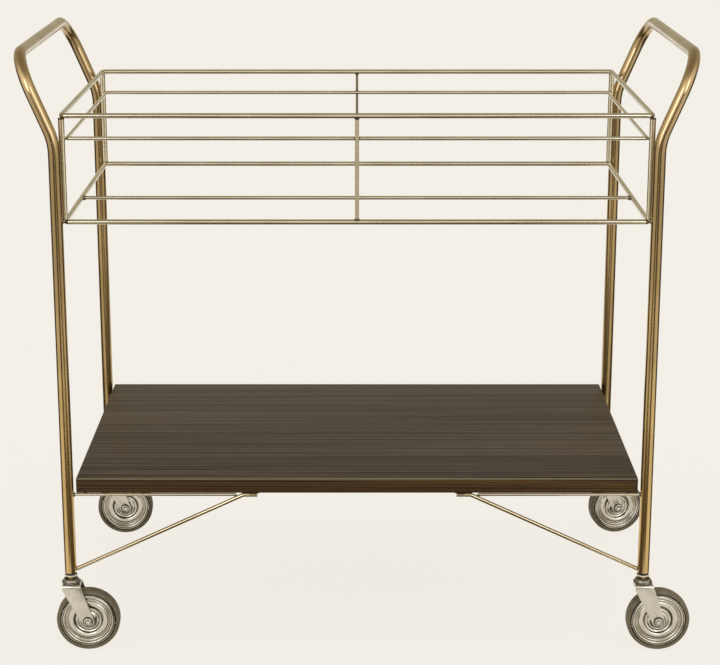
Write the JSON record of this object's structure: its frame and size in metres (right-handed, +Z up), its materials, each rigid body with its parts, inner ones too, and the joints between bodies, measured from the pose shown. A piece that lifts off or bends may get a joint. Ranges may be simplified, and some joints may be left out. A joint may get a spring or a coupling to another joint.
{
  "type": "bar cart",
  "caption": "Bar cart: bent tube end frames with push handles, open wire basket above, wooden shelf below, diagonal braces and swivel casters.",
  "frame": {"origin": "on the floor under the middle of the cart, midway between the legs", "axes": "+X to the right seen from the front, +Y to the back, +Z up"},
  "size_m": [1.061, 0.544, 0.9705],
  "materials": {
    "antique_brass": "aged, brushed and lacquered",
    "wire_brass": "pale aged brass, satin",
    "dark_wood": "fine straight grain, matt lacquer",
    "cream_plastic": "smooth, matt",
    "black_plastic": "smooth, matt",
    "stem_steel": "yellow passivated, satin",
    "raceway_steel": "pressed steel, darkened",
    "satin_nickel": "warm satin nickel",
    "tyre_rubber": "smooth taupe rubber"
  },
  "bodies": {
    "cart": {"left_end_frame": "antique_brass", "right_end_frame": "antique_brass", "basket_top_rail": "wire_brass", "basket_middle_wire": "wire_brass", "basket_bottom_rail": "wire_brass", "basket_corner_posts": "wire_brass", "basket_front_post": "wire_brass", "basket_back_post": "wire_brass", "basket_cross_bar": "wire_brass", "shelf_front_rod": "wire_brass", "shelf_back_rod": "wire_brass", "shelf_side_rods": "wire_brass", "shelf_tabs": "wire_brass", "front_braces": "wire_brass", "rear_braces": "wire_brass", "shelf_board": "dark_wood", "leg_collars": "cream_plastic", "leg_sockets": "black_plastic", "caster_stems": "stem_steel", "caster_raceways": "raceway_steel"},
    "front_left_swivel": {"front_left_fork": "satin_nickel", "front_left_axle_bolt": "satin_nickel", "front_left_axle_nut": "satin_nickel"},
    "front_left_wheel": {"front_left_tyre": "tyre_rubber", "front_left_wheel_disc": "satin_nickel"},
    "front_right_swivel": {"front_right_fork": "satin_nickel", "front_right_axle_bolt": "satin_nickel", "front_right_axle_nut": "satin_nickel"},
    "front_right_wheel": {"front_right_tyre": "tyre_rubber", "front_right_wheel_disc": "satin_nickel"},
    "rear_left_swivel": {"rear_left_fork": "satin_nickel", "rear_left_axle_bolt": "satin_nickel", "rear_left_axle_nut": "satin_nickel"},
    "rear_left_wheel": {"rear_left_tyre": "tyre_rubber", "rear_left_wheel_disc": "satin_nickel"},
    "rear_right_swivel": {"rear_right_fork": "satin_nickel", "rear_right_axle_bolt": "satin_nickel", "rear_right_axle_nut": "satin_nickel"},
    "rear_right_wheel": {"rear_right_tyre": "tyre_rubber", "rear_right_wheel_disc": "satin_nickel"}
  },
  "joints": [
    {"name": "front_left_swivel_turn", "type": "hinge", "parent": "cart", "child": "front_left_swivel", "pos_m": [-0.46, -0.249, 0.1138], "axis": [0, 0, 1], "continuous": true},
    {"name": "front_left_wheel_spin", "type": "hinge", "parent": "front_left_swivel", "child": "front_left_wheel", "pos_m": [-0.43402, -0.24809, 0.0508], "axis": [-0.0349, 0.9994, 0], "continuous": true},
    {"name": "front_right_swivel_turn", "type": "hinge", "parent": "cart", "child": "front_right_swivel", "pos_m": [0.46, -0.249, 0.1138], "axis": [0, 0, 1], "continuous": true},
    {"name": "front_right_wheel_spin", "type": "hinge", "parent": "front_right_swivel", "child": "front_right_wheel", "pos_m": [0.486, -0.249, 0.0508], "axis": [0, 1, 0], "continuous": true},
    {"name": "rear_left_swivel_turn", "type": "hinge", "parent": "cart", "child": "rear_left_swivel", "pos_m": [-0.46, 0.249, 0.1138], "axis": [0, 0, 1], "continuous": true},
    {"name": "rear_left_wheel_spin", "type": "hinge", "parent": "rear_left_swivel", "child": "rear_left_wheel", "pos_m": [-0.43406, 0.25081, 0.0508], "axis": [-0.0698, 0.9976, 0], "continuous": true},
    {"name": "rear_right_swivel_turn", "type": "hinge", "parent": "cart", "child": "rear_right_swivel", "pos_m": [0.46, 0.249, 0.1138], "axis": [0, 0, 1], "continuous": true},
    {"name": "rear_right_wheel_spin", "type": "hinge", "parent": "rear_right_swivel", "child": "rear_right_wheel", "pos_m": [0.48552, 0.25396, 0.0508], "axis": [-0.1908, 0.9816, 0], "continuous": true}
  ]
}
